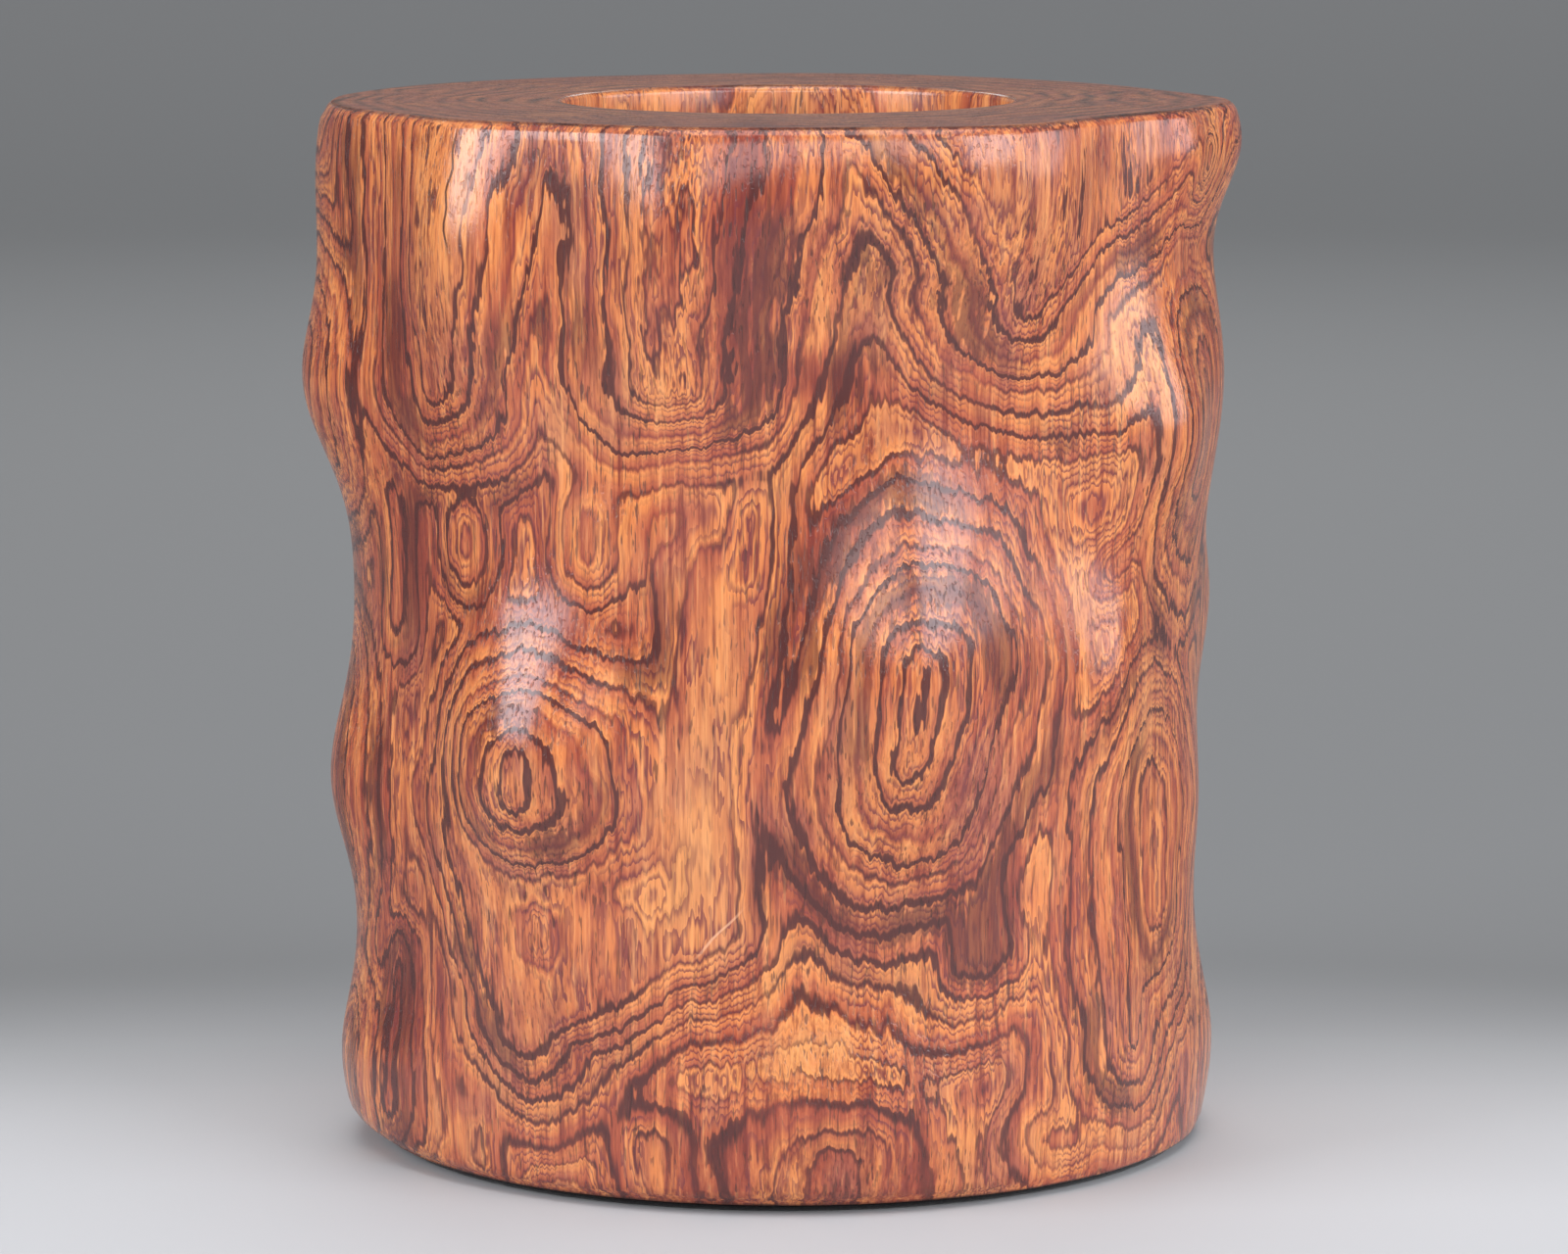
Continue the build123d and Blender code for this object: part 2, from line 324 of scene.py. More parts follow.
# The wall's distance from the bore's axis: a trunk that stands a little off it, plus a Gaussian swelling for
# each knob.
def wallRadius(angle, level):
    share = level / potHeight
    offset = pot["trunkOffsetBase"] + share * (pot["trunkOffsetTop"] - pot["trunkOffsetBase"])
    radius = pot["trunkRadius"] + offset * np.sin(np.radians(angle))
    for knobAngle, knobLevel, halfWidth, halfHeight, lean, rise in pot["knobs"]:
        side, along = leaningFrame(angle, level, knobAngle, knobLevel, lean)
        radius = radius + rise * np.exp(-((side / halfWidth) ** 2) - (along / halfHeight) ** 2)
    return radius


# A turned end's radius at each level: the arc of one radius through two points, bulging outwards.
def turnedRadius(level, turn):
    start, end, curve = (np.array(value) for value in turn)
    chord = end - start
    half = np.linalg.norm(chord) / 2
    normal = np.array([-chord[1], chord[0]]) / (2 * half)
    inward = -1 if normal[0] > 0 else 1
    centre = (start + end) / 2 + inward * normal * np.sqrt(curve ** 2 - half ** 2)
    return centre[0] + np.sqrt(np.clip(curve ** 2 - (level - centre[1]) ** 2, 0, None))


# The finished outer wall: the knobbed trunk with a slow swell from hand polishing, cut back by the turned
# rim and the turned foot.
def outerRadius(angle, level):
    radius = wallRadius(angle, level) + pot["swell"] * smoothSwell(angle, level, *pot["swellCells"])
    uncut = np.full_like(radius, np.inf)
    rim = np.where(level > pot["rimTurn"][1][1], turnedRadius(level, pot["rimTurn"]), uncut)
    foot = np.where(level < pot["footTurn"][1][1], turnedRadius(level, pot["footTurn"]), uncut)
    return softLower(softLower(radius, rim, pot["creaseRounding"]), foot, pot["creaseRounding"])


# One eye's depth: its start, plus the distance from its flat core in its own stretched and leaning frame.
def eyeDepth(eye, angle, level):
    eyeAngle, eyeLevel, lean, halfCore, stepAcross, stepUp, roundness, start, flat, skew, flare = eye
    side, along = leaningFrame(angle, level, eyeAngle, eyeLevel, lean)
    side = side * (1 - skew * np.tanh(side / grain["skewReach"]))
    side = np.maximum(np.abs(side) - flare * np.maximum(along + halfCore, 0), 0) / stepAcross
    along = np.maximum(np.abs(along) - halfCore, 0) / stepUp
    distance = (side ** roundness + along ** roundness + grain["tipRounding"]) ** (1 / roundness)
    sharpness = grain["coreRounding"]
    return start + np.logaddexp(0, (distance - flat) * sharpness) / sharpness


# The figure: the soft minimum of all eyes, with the whole map gently warped.
def figureDepth(angle, level):
    warpedAngle = angle + grain["warp"] * smoothSwell(angle, level, *grain["warpRoundCells"])
    warpedLevel = level + grain["warp"] * smoothSwell(angle, level, *grain["warpUpCells"])
    depths = [np.full(angle.shape, grain["deepest"])]
    depths += [eyeDepth(eye, warpedAngle, warpedLevel) for eye in grain["frontEyes"] + grain["backEyes"]]
    lowest = np.minimum.reduce(depths)
    overlap = sum(np.exp((lowest - depth) / grain["rounding"]) for depth in depths)
    return lowest - grain["rounding"] * np.log(overlap)


# How pale the wood is, and how bold its ring lines are, each from about -1 to 1: a slow swell, plus a
# Gaussian for each patch.
def tints(angle, level):
    paleness = grain["paleSwell"] * smoothSwell(angle, level, *grain["paleCells"])
    boldness = grain["boldSwell"] * smoothSwell(angle, level, *grain["boldCells"])
    patches = grain["frontPatches"] + grain["backPatches"]
    for patchAngle, patchLevel, halfWidth, halfHeight, lean, pale, bold in patches:
        side, along = leaningFrame(angle, level, patchAngle, patchLevel, lean)
        here = np.exp(-((side / halfWidth) ** 2) - (along / halfHeight) ** 2)
        paleness, boldness = paleness + pale * here, boldness + bold * here
    return paleness, boldness


# Millimetres to the side of a hairline mark, up to 20, and how fully it shows, fading over its last 2 mm at
# both ends. Two sine waves, 5.7 and 14.6 mm long, make it wander.
def markLines(angle, level, mark):
    markAngle, low, high, slant, wander = mark
    side = np.radians(angle - 360 * (angle > 180) - markAngle) * pot["trunkRadius"] - slant * (level - low)
    side = side + wander * (np.sin(level * 1.1) + np.sin(level * 0.43 + 1))
    return np.clip(side, -20, 20), np.clip((level - low) / 2, 0, 1) * np.clip((high - level) / 2, 0, 1)


# The pot's skin is one closed profile at each angle: up the wall, over the rim, down the well, across the
# floor's ledge, down the pith hole and the rebate, and out along the foot.
def potSkin():
    columns, edge = pot["columns"], pot["footEdge"]
    wallLevels = np.linspace(footLevel + edge, potHeight - pot["bevelDrop"], pot["wallRows"])
    angle, wallLevel = np.meshgrid(np.arange(columns) * 360 / columns, wallLevels)
    wall = outerRadius(angle, wallLevel)

    # The bevel bulges a little between the wall's top edge and the rim's flat.
    share = np.linspace(0, 1, pot["bevelRows"] + 1)[1:, None]
    bevel = wall[-1] - pot["bevelInset"] * share + pot["bevelBulge"] * np.sin(np.pi * share)
    bevelLevel = potHeight - pot["bevelDrop"] * (1 - share) + pot["bevelLift"] * np.sin(np.pi * share)
    boreEdge = boreRadius + pot["boreRounding"]
    rim = bevel[-1] + (boreEdge - bevel[-1]) * np.linspace(0, 1, pot["rimRows"] + 1)[1:, None]

    turn = np.radians(np.linspace(0, 90, pot["boreRoundingRows"] + 1)[1:-1])
    rounding = np.stack([boreEdge - pot["boreRounding"] * np.sin(turn),
                         potHeight - pot["boreRounding"] * (1 - np.cos(turn))], axis=-1)
    corners = [(boreRadius, potHeight - pot["boreRounding"]), (boreRadius, pot["floorLevel"]),
               (pot["pithHoleRadius"], pot["floorLevel"]), (pot["pithHoleRadius"], pot["shoulderLevel"]),
               (pot["rebateRadius"], pot["shoulderLevel"]),
               (pot["rebateRadius"], footLevel + pot["rebateChamfer"]),
               (pot["rebateRadius"] + pot["rebateChamfer"], footLevel), (pot["footFlatRadius"], footLevel)]
    well = np.concatenate([rounding, dividedRun(corners, pot["wellSteps"]).T])
    inset, rise = np.array(pot["footEdgeShape"]).T[..., None] * edge

    one = np.ones((1, columns))
    radius = np.concatenate([wall, bevel, rim, well[:, :1] * one, wall[0] - inset])
    level = np.concatenate([wallLevel, bevelLevel * one, np.full_like(rim, potHeight), well[:, 1:] * one,
                            (footLevel + rise) * one])
    return angle[:1] * np.ones_like(radius), level, radius


# The pot body is its skin, with the values that its material reads at each point.
def makePotBody():
    angle, level, radius = potSkin()

    # Rings are counted inwards from the wall, and the figure fades on the way to the bore.
    wall = outerRadius(angle, np.clip(level, footLevel + pot["footEdge"], potHeight - pot["bevelDrop"]))
    inward = np.clip((wall - radius) / (wall - boreRadius), 0, 1)
    depth = figureDepth(angle, level) * (1 - grain["figureLost"] * inward)
    paleness, boldness = tints(angle, level)

    # Marks and slopes count on the wall alone, up to a twentieth of the way in. End grain is full on the top
    # and the bottom 0.25 mm.
    onWall = 1 - np.clip(inward * 20, 0, 1)
    slope = outerRadius(angle, level - 1) - outerRadius(angle, level + 1)
    toEnd = np.minimum(potHeight - level, level - footLevel)
    endGrain = np.clip(2 - toEnd / pot["endGrainDepth"], 0, 1)
    crackSide, crackShows = markLines(angle, level, pot["crack"])
    scratchSide, scratchShows = markLines(angle, level, pot["scratch"])
    attributes = {
        "ringDepth": depth + (wall - radius) * grain["inwardDepth"],
        "paleness": paleness * (1 - inward) + grain["borePaleness"] * inward,
        "boldness": boldness + grain["boreBoldness"] * inward,
        "upperSlope": np.clip(slope * pot["slopeGain"], 0, 1) * onWall,
        "endGrain": endGrain,
        "crackSide": crackSide,
        "crackShows": crackShows * onWall,
        "scratchSide": scratchSide,
        "scratchShows": scratchShows * onWall,
    }
    piece = gridPiece("pot_body_turned", turnedPoints(radius, level, pot["columns"]), closedRows=True,
                      attributes=attributes)

    # The flat ends take the second material.
    flatEnd = np.minimum(endGrain, np.roll(endGrain, -1, axis=0)) > 0.99
    piece.data.polygons.foreach_set("material_index", flatEnd.astype(np.int32).ravel())
    return piece


potBody = makePotBody()
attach(potBody, "root")
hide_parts("pot_body")
print("pot body:", len(potBody.data.polygons), "faces")

# Rosewood, turned, carved and hand-polished, then waxed: orange-brown bands between thin purple-brown ring
# lines, fibres and long pores that run up the trunk, and a soft semi-gloss skin. IOR of wood fibre and wax
# is about 1.5.
wood = {
    # colours from just outside a ring line to just inside the next one, and how strongly a line shows there
    "ringStops": [(0.0, "#E49052"), (0.25, "#D8804A"), (0.55, "#C26C46"), (0.8, "#A4503A"),
                  (1.0, "#DC824C")],
    "lineShape": [(0.0, 0.0), (0.52, 0.0), (0.76, 0.75), (0.84, 1.0), (0.91, 1.0), (0.98, 0.0)],
    "linePitch": 2.9,
    "paleColour": "#E09A5C",
    "redColour": "#A44A36",
    "darkColour": "#823C30",
    "mauveColour": "#9A5A4C",
    "brightFibre": "#F0A468",
    "darkFibre": "#74302A",
    "lineColour": "#4E2826",
    "fineLineColour": "#74363A",
    "poreColour": "#3A1C1A",
    "endGrainColour": "#4C2A22",
    "endLineColour": "#20110F",
    "scratchColour": "#F0B890",
    "endRingPitch": 3.6,
    "crackWidth": 0.12,
    "scratchWidth": 0.16,
    "bumpHeight": 0.12,
    # noises drawn out along the trunk: width in millimetres, how many times longer, detail, roughness
    "noises": {
        "fine": (0.5, 30, 3.0, 0.65),
        "broad": (1.7, 20, 2.0, 0.6),
        "sway": (13.0, 1.5, 2.0, 0.5),
        "step": (1.9, 7, 2.0, 0.6),
        "fineStep": (0.6, 7, 1.0, 0.5),
        "tone": (20.0, 2.4, 2.0, 0.5),
        "mauve": (9.0, 2.0, 2.0, 0.5),
        "boldness": (11.0, 2.5, 2.0, 0.5),
        "fineLines": (8.0, 3.0, 1.0, 0.5),
        "smudge": (1.1, 14, 2.0, 0.5),
        "smudgeAreas": (15.0, 1.6, 1.0, 0.5),
        "pore": (0.38, 9, 1.0, 0.5),
        "poreAreas": (11.0, 2.0, 1.0, 0.5),
        "dot": (0.55, 1.6, 0.5, 0.5),
        "endWander": (7.0, 1.0, 2.0, 0.5),
        "endAreas": (9.0, 1.0, 2.0, 0.5),
    },
}
finishes = [
    {"name": "waxed rosewood", "roughness": 0.22, "coat": 0.15, "specular": 0.5},
    {"name": "waxed rosewood end grain", "roughness": 0.5, "coat": 0.0, "specular": 0.07},
]


# The place on the piece, in millimetres.
def placeInMillimetres(node):
    metres = node("TexCoord", output="Object")
    return node("VectorMath", {0: metres, "Scale": 1 / millimetre}, operation="SCALE")


# Noise drawn out along the trunk.
def fibreNoise(node, place, width, stretch, detail, rough):
    stretched = node("VectorMath", [place, (1 / width, 1 / width, 1 / (width * stretch))],
                     operation="MULTIPLY")
    return node("TexNoise", {"Vector": stretched, "Scale": 1.0, "Detail": detail, "Roughness": rough})


# Noise that depends on the ring count alone, so it changes from ring to ring, over so many rings.
def ringNoise(node, count, rings, shift, detail):
    along = node("Math", [count, 1 / rings, shift], operation="MULTIPLY_ADD")
    return node("TexNoise", {"W": along, "Scale": 1.0, "Detail": detail}, noise_dimensions="1D")


# A start plus weighted noises, less a half of each weight, because a noise's mean is a half.
def total(node, start, *parts):
    for value, weight in parts:
        start = node("Math", [value, weight, start], operation="MULTIPLY_ADD")
        start = node("Math", [start, weight / 2], operation="SUBTRACT")
    return start


# The strong ring lines: a line widens with its weight, from a hair to two fifths of its ring, and its edges
# are ragged along the fibres.
def strongLines(node, noise, phase, weight):
    shape = node("ValToRGB", [phase], stops=wood["lineShape"])
    ragged = node("Math", [noise["fine"], 0.9, node("Math", [shape, 0.45], operation="SUBTRACT")],
                  operation="MULTIPLY_ADD")
    threshold = node("Math", [1.0, weight], operation="SUBTRACT")
    line = node("MapRange", [ragged, node("Math", [threshold, 0.12], operation="SUBTRACT"),
                             node("Math", [threshold, 0.35], operation="ADD")],
                interpolation_type="SMOOTHSTEP")
    darkness = node("MapRange", [weight, 0.0, 0.6, 0.3, 0.95])
    return node("Math", [line, darkness], operation="MULTIPLY")


# Dark smudges run up and down the fibres from some of the rings, in some areas only.
def smudges(node, noise, depth, pale):
    count = node("Math", [total(node, depth, (noise["smudge"], 9.0)), 1 / wood["linePitch"]],
                 operation="MULTIPLY")
    smudge = node("MapRange", [ringNoise(node, count, 1.9, 12.0, 0.0), 0.56, 0.70],
                  interpolation_type="SMOOTHSTEP")
    shows = node("MapRange", [total(node, noise["smudgeAreas"], (pale, -0.3)), 0.60, 0.80, 0.0, 0.7],
                 interpolation_type="SMOOTHSTEP")
    return node("Math", [smudge, shows], operation="MULTIPLY")


# Pores are thin dashes along the fibres, and rows of dots where the knobs' upper sides cut across them.
def pores(node, noise, phase, slope):
    dash = node("MapRange", [noise["pore"], 0.60, 0.68], interpolation_type="SMOOTHSTEP")
    dash = node("Math", [dash, node("MapRange", [noise["poreAreas"], 0.36, 0.6, 0.3, 0.85])],
                operation="MULTIPLY")
    dots = node("MapRange", [noise["dot"], 0.60, 0.68], interpolation_type="SMOOTHSTEP")
    rows = node("MapRange", [phase, 0.25, 0.6, 0.15, 1.0], interpolation_type="SMOOTHSTEP")
    dots = node("Math", [dots, node("Math", [slope, rows], operation="MULTIPLY")], operation="MULTIPLY")
    return node("Math", [dash, dots], operation="MAXIMUM")


# Rings round the pith on the flat ends are 1 to 1.5 mm apart, drawn 3.6 mm apart so that they show at a low
# angle. Slow noise warps them, and they come and go.
def endRings(node, noise, place):
    flat = node("VectorMath", [place, (1.0, 1.0, 0.0)], operation="MULTIPLY")
    fromPith = node("VectorMath", [flat], output="Value", operation="LENGTH")
    warp = node("TexNoise", {"Vector": flat, "Scale": 0.035, "Detail": 1.0})
    count = node("Math", [fromPith, 1 / wood["endRingPitch"]], operation="MULTIPLY")
    count = total(node, count, (warp, 4.0), (noise["endWander"], 0.35))
    shows = node("MapRange", [noise["endAreas"], 0.35, 0.65, 0.3, 1.0])
    return node("MapRange", [node("Math", [count, 0.5], operation="PINGPONG"), 0.14, 0.46, 0.0, shows])


# A hairline mark is as dark as it shows within its width, and fades over as much again.
def hairline(node, side, shows, width):
    hair = node("MapRange", [node("Math", [side], operation="ABSOLUTE"), width, 2 * width, 1.0, 0.0])
    return node("Math", [hair, shows], operation="MULTIPLY")


# The wood is its ring colours with layers mixed over them, each by its own share.
def makeWood(finish):
    material, tree = newMaterial(finish["name"])
    node = partial(addNode, tree)
    place = placeInMillimetres(node)
    noise = {name: fibreNoise(node, place, *size) for name, size in wood["noises"].items()}
    ring, pale, bold, slope, endGrain, crackSide, crackShows, scratchSide, scratchShows = (
        node("Attribute", output="Fac", attribute_name=name) for name in
        ("ringDepth", "paleness", "boldness", "upperSlope", "endGrain", "crackSide", "crackShows",
         "scratchSide", "scratchShows"))

    # Ring lines step where they cross the fibres: narrow tall noise shifts the depth by up to a millimetre.
    swayed = total(node, ring, (noise["sway"], 5.0))
    depth = total(node, swayed, (noise["step"], 2.6), (noise["fineStep"], 1.2))
    plain = node("Math", [depth, 1 / wood["linePitch"]], operation="MULTIPLY")
    count = total(node, plain, (ringNoise(node, plain, 3.0, 0.0, 1.0), 1.6))
    phase = node("Math", [count], operation="FRACT")
    colour = node("ValToRGB", [phase], stops=wood["ringStops"])

    # Each ring has its own tint, and pale and dark areas are feathered along the fibres.
    tone = total(node, pale, (noise["tone"], 2.2), (noise["broad"], 1.8),
                 (ringNoise(node, count, 1.3, 7.0, 0.0), 1.2))
    fibreLight = total(node, node("Math", [pale, 0.07, noise["fine"]], operation="MULTIPLY_ADD"),
                       (noise["broad"], 0.6))

    # Three fine lines lie in each ring, and come and go.
    third = node("Math", [node("Math", [count, 3.0, 0.45], operation="MULTIPLY_ADD")], operation="FRACT")
    fineLine = node("MapRange", [third, 0.45, 0.9], interpolation_type="SMOOTHSTEP")
    fineShows = node("MapRange", [noise["fineLines"], 0.34, 0.60, 0.15, 0.85],
                     interpolation_type="SMOOTHSTEP")

    boldHere = total(node, bold, (noise["boldness"], 1.5), (ringNoise(node, count, 1.1, 31.0, 0.0), 2.4))
    line = strongLines(node, noise, phase, node("MapRange", [boldHere, -0.45, 0.85, 0.1, 0.95]))
    smudge = smudges(node, noise, swayed, pale)
    pore = pores(node, noise, phase, slope)
    crack = hairline(node, crackSide, crackShows, wood["crackWidth"])
    scratch = hairline(node, scratchSide, scratchShows, wood["scratchWidth"])

    # The turned ends drink more finish, so they are darker.
    endLine = node("Math", [endGrain, endRings(node, noise, place)], operation="MULTIPLY")

    layers = [  # value, where it starts and where it is full, most it covers, colour
        (tone, 0.2, 1.5, 0.7, "paleColour"),
        (tone, 0.15, -0.8, 0.75, "redColour"),
        (tone, -0.6, -1.7, 0.8, "darkColour"),
        (noise["mauve"], 0.52, 0.68, 0.5, "mauveColour"),
        (fineLine, 0.0, 1.0, fineShows, "fineLineColour"),
        (fibreLight, 0.56, 0.80, 0.6, "brightFibre"),
        (fibreLight, 0.50, 0.26, 0.85, "darkFibre"),
        (smudge, 0.0, 1.0, 0.85, "lineColour"),
        (line, 0.0, 1.0, 0.95, "lineColour"),
        (pore, 0.0, 1.0, 0.8, "poreColour"),
        (endGrain, 0.0, 1.0, 0.7, "endGrainColour"),
        (endLine, 0.0, 1.0, 0.85, "endLineColour"),
        (crack, 0.0, 1.0, 0.9, "poreColour"),
        (scratch, 0.0, 1.0, 0.55, "scratchColour"),
    ]
    for value, low, full, most, tint in layers:
        share = node("MapRange", [value, low, full, 0.0, most])
        colour = node("Mix", {0: share, 6: colour, 7: toLinear(wood[tint])}, output=2, data_type="RGBA")

    # Pores are rougher than the fibres, and they and the crack are sunk.
    roughness = node("Math", [noise["fine"], 0.12, finish["roughness"] - 0.06], operation="MULTIPLY_ADD")
    roughness = node("Math", [pore, 0.25, roughness], operation="MULTIPLY_ADD")
    raised = node("Math", [noise["fine"], 0.15], operation="MULTIPLY")
    sunk = node("Math", [pore, crack], operation="ADD")
    bump = node("Bump", {"Height": node("Math", [raised, sunk], operation="SUBTRACT"), "Strength": 0.6,
                         "Distance": wood["bumpHeight"] * millimetre})
    shader = node("BsdfPrincipled", {"Base Color": colour, "Roughness": roughness, "Normal": bump,
                                     "IOR": 1.5, "Specular IOR Level": finish["specular"],
                                     "Coat Weight": finish["coat"], "Coat Roughness": 0.16})
    node("OutputMaterial", [shader])
    return material


for finish in finishes:
    potBody.data.materials.append(makeWood(finish))
print("wood made")

# The plug is a turned disc: a chamfered flange with a narrower spigot on it. The tool leaves shallow rings
# on both its faces.
plug = {
    "columns": 120,
    "glueGap": 0.1,
    "chamfer": 0.8,
    "toolPitch": 1.1,
    "toolDepth": 0.05,
    "middleRadius": 0.5,  # the innermost points on both faces
    "steps": (150, 3, 6, 10, 6, 110),
}


# A profile of straight runs turned about Z, with a cosine groove at each tool ring.
def makePlug():
    low, high, flangeRadius = plugLow[2], plugHigh[2], plugHigh[0]
    spigotRadius = pot["pithHoleRadius"] - plug["glueGap"]
    corners = [(plug["middleRadius"], low), (flangeRadius - plug["chamfer"], low),
               (flangeRadius, low + plug["chamfer"]), (flangeRadius, pot["shoulderLevel"]),
               (spigotRadius, pot["shoulderLevel"]), (spigotRadius, high), (plug["middleRadius"], high)]
    radius, level = dividedRun(corners, plug["steps"])
    groove = plug["toolDepth"] * (0.5 - 0.5 * np.cos(2 * np.pi * radius / plug["toolPitch"]))
    level = level + groove * ((level == low).astype(float) - (level == high))
    return gridPiece("base_plug_turned", turnedPoints(radius, level, plug["columns"]),
                     poles=[(0, 0, low), (0, 0, high)])


plugPiece = makePlug()
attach(plugPiece, "root")
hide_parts("base_plug")

# Rosewood cut across a board and turned: straight grain runs along X in bands 2 to 4 mm wide, with short
# pores, under a thin satin wax.
plugWood = {
    "stops": [(0.0, "#B8683E"), (0.45, "#9E5236"), (0.8, "#743428"), (0.92, "#4A2226"), (1.0, "#A85E3A")],
    "bandWidth": 3.2,
    "poreColour": "#2E1618",
    "roughness": 0.38,
    "bumpHeight": 0.1,
    # noises drawn out along X: turns to a millimetre each way, detail
    "noises": {
        "bend": ((0.02, 0.08, 0.05), 2.0),
        "fine": ((0.06, 1.6, 1.6), 3.0),
        "dash": ((0.3, 2.6, 2.6), 1.0),
    },
}


def makePlugWood():
    material, tree = newMaterial("satin turned rosewood")
    node = partial(addNode, tree)
    place = placeInMillimetres(node)
    bend, fine, dash = (
        node("TexNoise", {"Vector": node("VectorMath", [place, turns], operation="MULTIPLY"), "Scale": 1.0,
                          "Detail": detail}) for turns, detail in plugWood["noises"].values())

    # Bands of grain are counted across the board, bent slowly and roughened by the fibres.
    across = node("SeparateXYZ", [place], output="Y")
    band = node("Math", [across, 1 / plugWood["bandWidth"], node("Math", [bend, 6.0], operation="MULTIPLY")],
                operation="MULTIPLY_ADD")
    band = node("Math", [node("Math", [fine, 0.5, band], operation="MULTIPLY_ADD")], operation="FRACT")
    colour = node("ValToRGB", [band], stops=plugWood["stops"])
    light = node("MapRange", [fine, 0.25, 0.75, 0.7, 1.15])
    colour = node("Mix", {0: 1.0, 6: colour, 7: light}, output=2, data_type="RGBA", blend_type="MULTIPLY")

    pore = node("MapRange", [dash, 0.60, 0.68], interpolation_type="SMOOTHSTEP")
    colour = node("Mix", {0: pore, 6: colour, 7: toLinear(plugWood["poreColour"])}, output=2,
                  data_type="RGBA")
    bump = node("Bump", {"Height": node("Math", [fine, pore], operation="SUBTRACT"), "Strength": 0.4,
                         "Distance": plugWood["bumpHeight"] * millimetre})
    roughness = node("Math", [pore, 0.2, plugWood["roughness"]], operation="MULTIPLY_ADD")
    shader = node("BsdfPrincipled", {"Base Color": colour, "Roughness": roughness, "IOR": 1.5,
                                     "Normal": bump})
    node("OutputMaterial", [shader])
    return material


plugPiece.data.materials.append(makePlugWood())
print("base plug:", len(plugPiece.data.polygons), "faces")

# The felt ring is a flat washer with rounded edges. Its rim is a little ragged, and its underside a little
# uneven.
felt = {
    "columns": 360,
    "innerRadius": 44.0,
    "edge": 0.35,
    "cornerShare": 0.3,  # how near to the sharp corner the rounded one comes, as a share of the edge
    "ragged": 0.12,
    "raggedCells": (42, 330, 20),  # seed, cells round, cells up
    "raggedSpread": 20,  # the ring is thin, so its levels are spread over those cells
    "uneven": 0.06,
    "unevenCells": (41, 240, 60),
    "steps": (24, 1, 1, 3, 1, 10, 1, 3, 1, 1),
}


# A washer's profile turned about Z, moved in and out by one swell and its underside up by another.
def makeFelt():
    inner, outer = felt["innerRadius"], feltHigh[0] - 2 * felt["ragged"]
    low, high, edge = 0.0, feltHigh[2], felt["edge"]
    corner = felt["cornerShare"] * edge
    corners = [(inner + edge, low), (outer - edge, low), (outer - corner, low + corner), (outer, low + edge),
               (outer, high - edge), (outer - edge, high), (inner + edge, high), (inner, high - edge),
               (inner, low + edge), (inner + corner, low + corner), (inner + edge, low)]
    radius, level = dividedRun(corners, felt["steps"])[:, :-1, None]
    angle = np.arange(felt["columns"]) * 360 / felt["columns"] * np.ones_like(radius)
    level, radius = level * np.ones_like(angle), radius * np.ones_like(angle)
    uneven = felt["uneven"] * (1 + smoothSwell(angle, radius, *felt["unevenCells"])) / 2 * (level < edge)
    ragged = felt["ragged"] * smoothSwell(angle, level * felt["raggedSpread"], *felt["raggedCells"])
    return gridPiece("felt_ring_pressed", turnedPoints(radius + ragged, level + uneven, felt["columns"]),
                     closedRows=True)


feltPiece = makeFelt()
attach(feltPiece, "root")
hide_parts("felt_ring")

# Pressed wool felt, black: matted fibres about 0.05 mm thick, drawn 0.3 mm wide so that they show, a dusty
# sheen at the edges and no shine.
wool = {
    "colour": "#171618",
    "fibreColour": "#3A383A",
    "fibreWidth": 0.3,
    "matWidth": 1 / 0.7,
    "bumpHeight": 0.2,
}


def makeWool():
    material, tree = newMaterial("pressed wool felt")
    node = partial(addNode, tree)
    place = placeInMillimetres(node)
    matted = node("TexNoise", {"Vector": place, "Scale": 1 / wool["matWidth"], "Detail": 2.0,
                               "Distortion": 2.0})
    strands = node("TexNoise", {"Vector": place, "Scale": 1 / wool["fibreWidth"], "Detail": 2.0,
                                "Distortion": 3.0})
    fibre = node("MapRange", [strands, 0.45, 0.7], interpolation_type="SMOOTHSTEP")
    share = node("Math", [fibre, node("MapRange", [matted, 0.3, 0.7, 0.25, 0.9])], operation="MULTIPLY")
    colour = node("Mix", {0: share, 6: toLinear(wool["colour"]), 7: toLinear(wool["fibreColour"])}, output=2,
                  data_type="RGBA")
    bump = node("Bump", {"Height": strands, "Strength": 0.7, "Distance": wool["bumpHeight"] * millimetre})
    shader = node("BsdfPrincipled", {"Base Color": colour, "Roughness": 0.95, "Normal": bump,
                                     "Sheen Weight": 0.25, "Sheen Roughness": 0.5})
    node("OutputMaterial", [shader])
    return material


feltPiece.data.materials.append(makeWool())
print("felt ring:", len(feltPiece.data.polygons), "faces")

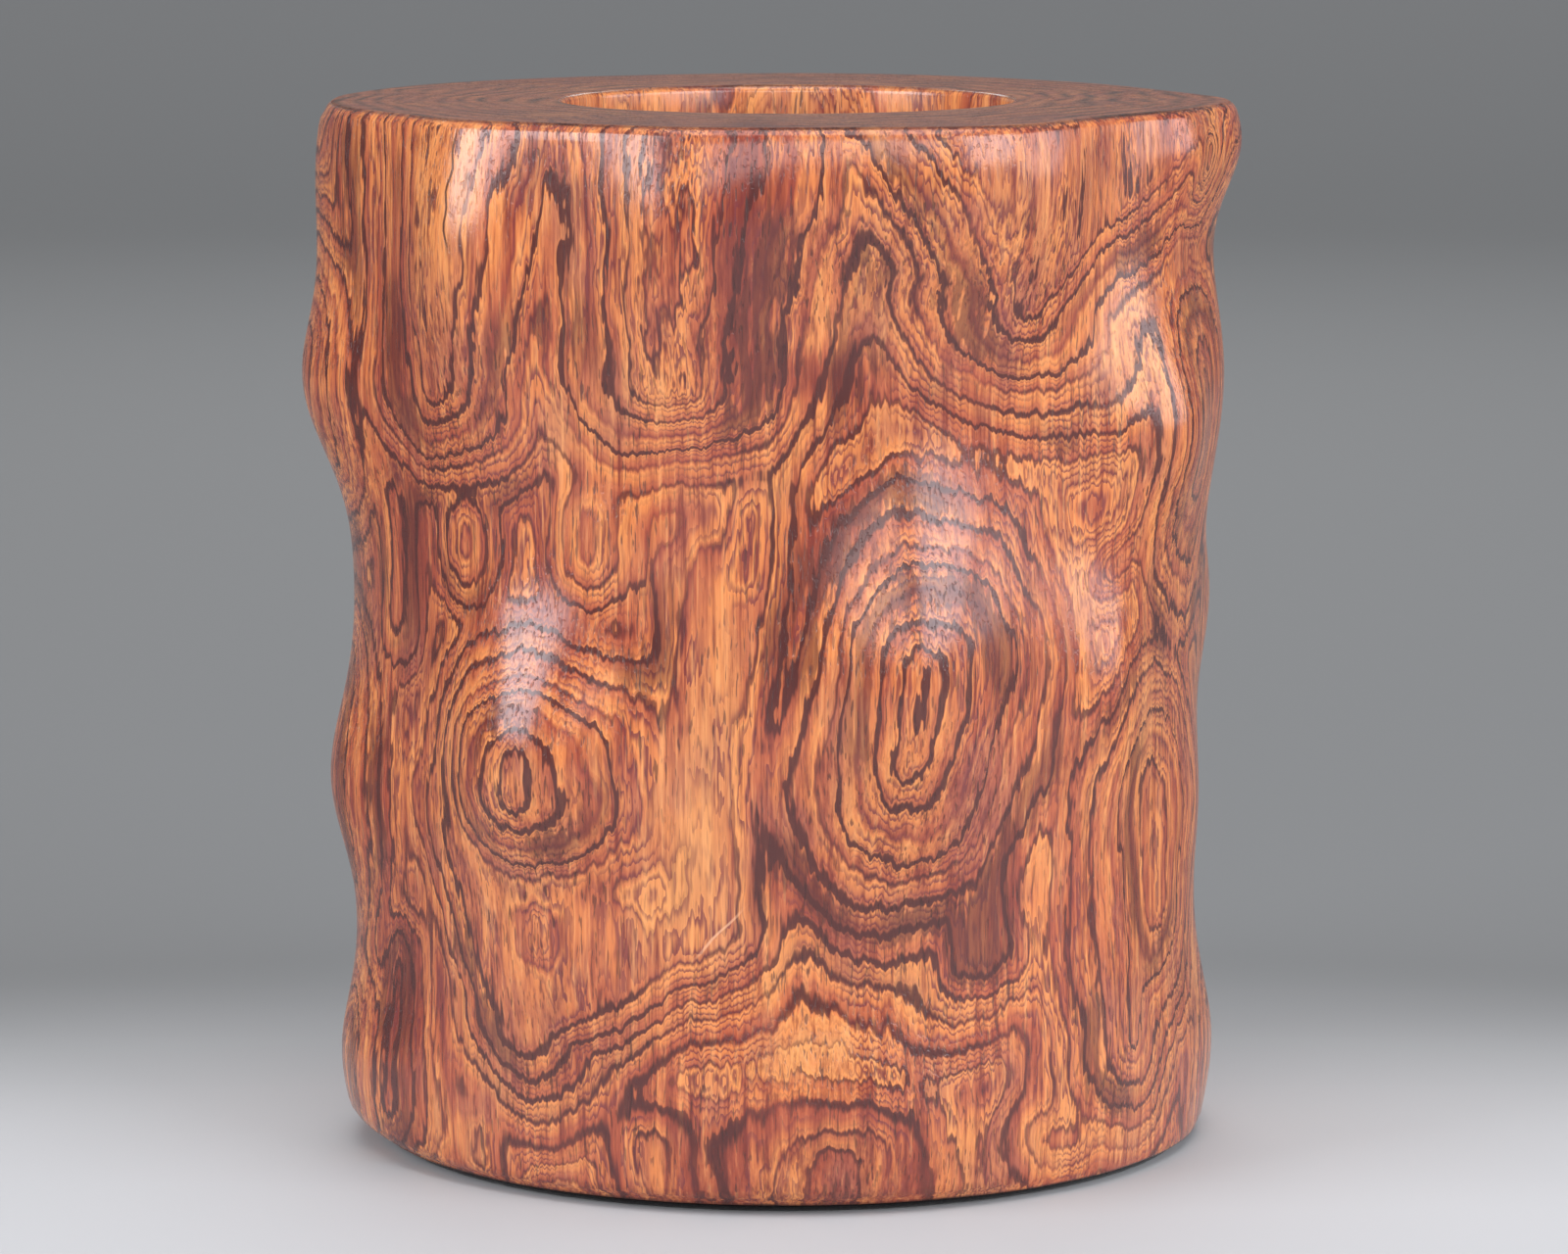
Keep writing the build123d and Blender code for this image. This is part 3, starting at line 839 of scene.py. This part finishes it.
# The stage is a mid-grey sweep with a pool of light painted on its floor round the pot, pale in the middle
# and fading out to the grey, in a softly lit room. Lengths here are metres.
stage = {
    "nearColour": "#B3B4B6",
    "farColour": "#6D6E6F",
    "roughness": 0.7,
    "poolCentre": (0, -0.35, 0),
    "poolEdges": (0.36, 0.50),
    "flatReach": 1.7,
    "flatRows": 11,
    "bend": 0.8,
    "bendRows": 24,
    "height": 1.7,
    "columns": 96,
    "roomColour": "#C8CCD2",
    "roomGlow": 0.45,
}
potMiddle = (0.0, 0.0, 0.08)
lights = [  # name, place, width, depth, watts, colour, what it points at
    ("overhead softbox", (0.0, -0.35, 1.25), 1.1, 0.9, 9.2, "#FFFFFF", potMiddle),
    ("left softbox", (-1.08, -0.52, 0.55), 0.80, 0.68, 13.5, "#F6F9FF", potMiddle),
    ("right softbox", (0.96, -0.75, 0.54), 0.90, 0.70, 13.0, "#F6F9FF", potMiddle),
    ("right card", (1.20, 0.05, 0.36), 0.80, 0.60, 5.0, "#F6F9FF", potMiddle),
    ("front fill", (0.0, -1.5, 0.55), 1.2, 0.4, 6.0, "#FFFFFF", potMiddle),
    ("back fill", (0.0, 1.2, 0.9), 1.0, 0.6, 5.0, "#FFFFFF", potMiddle),
    ("backdrop light", (0.0, 1.1, 1.4), 1.8, 0.4, 23.0, "#FFFFFF", (0.0, 2.8, 0.1)),
]
view = {
    "place": (-0.000527, -1.04637, 0.22583),
    "lookDown": 8.025,
    "sensorWidth": 36.0,
    "lens": 156.86,
}


# A round studio sweep: a flat floor that bends up by a quarter circle into a wall all round, from the wall's
# top to the middle.
def makeStage():
    turn = np.radians(np.linspace(90, 0, stage["bendRows"] + 1))
    flatRadius = np.linspace(stage["flatReach"], 0, stage["flatRows"] + 1)[1:]
    bendRadius = stage["flatReach"] + stage["bend"] * np.sin(turn)
    bendLevel = stage["bend"] * (1 - np.cos(turn))
    radius = np.concatenate([bendRadius[:1], bendRadius, flatRadius])
    level = np.concatenate([[stage["height"]], bendLevel, np.zeros_like(flatRadius)])
    piece = gridPiece("studio_sweep", turnedPoints(radius, level, stage["columns"]) / millimetre)

    material, tree = newMaterial("matt paper sweep")
    node = partial(addNode, tree)
    # Painted light: the floor is pale inside a pool round the pot and fades to the sweep's grey farther out.
    fromPool = node("VectorMath", [node("TexCoord", output="Object"), stage["poolCentre"]], output="Value",
                    operation="DISTANCE")
    share = node("MapRange", [fromPool, *stage["poolEdges"]], interpolation_type="SMOOTHSTEP")
    colour = node("Mix", {0: share, 6: toLinear(stage["nearColour"]), 7: toLinear(stage["farColour"])},
                  output=2, data_type="RGBA")
    node("OutputMaterial", [node("BsdfPrincipled", {"Base Color": colour, "Roughness": stage["roughness"]})])
    piece.data.materials.append(material)
    return piece


makeStage()
for name, spot, width, depth, watts, colour, target in lights:
    lamp = bpy.data.objects.new(name, bpy.data.lights.new(name, "AREA"))
    lamp.data.shape = "RECTANGLE"
    lamp.data.size = width
    lamp.data.size_y = depth
    lamp.data.energy = watts
    lamp.data.color = toLinear(colour)[:3]
    lamp.location = spot
    lamp.rotation_euler = (Vector(target) - Vector(spot)).to_track_quat("-Z", "Y").to_euler()
    bpy.context.collection.objects.link(lamp)

room = bpy.data.worlds.new("soft room")
room.use_nodes = True
room.node_tree.nodes.clear()
glow = addNode(room.node_tree, "Background", [toLinear(stage["roomColour"]), stage["roomGlow"]])
addNode(room.node_tree, "OutputWorld", [glow])
bpy.context.scene.world = room

camera = bpy.data.objects.new("camera", bpy.data.cameras.new("camera"))
camera.data.sensor_width = view["sensorWidth"]
camera.data.lens = view["lens"]
camera.location = view["place"]
camera.rotation_euler = (radians(90 - view["lookDown"]), 0, 0)
bpy.context.collection.objects.link(camera)
bpy.context.scene.camera = camera
bpy.context.scene.view_settings.view_transform = "Standard"
print("stage, lights and camera made")
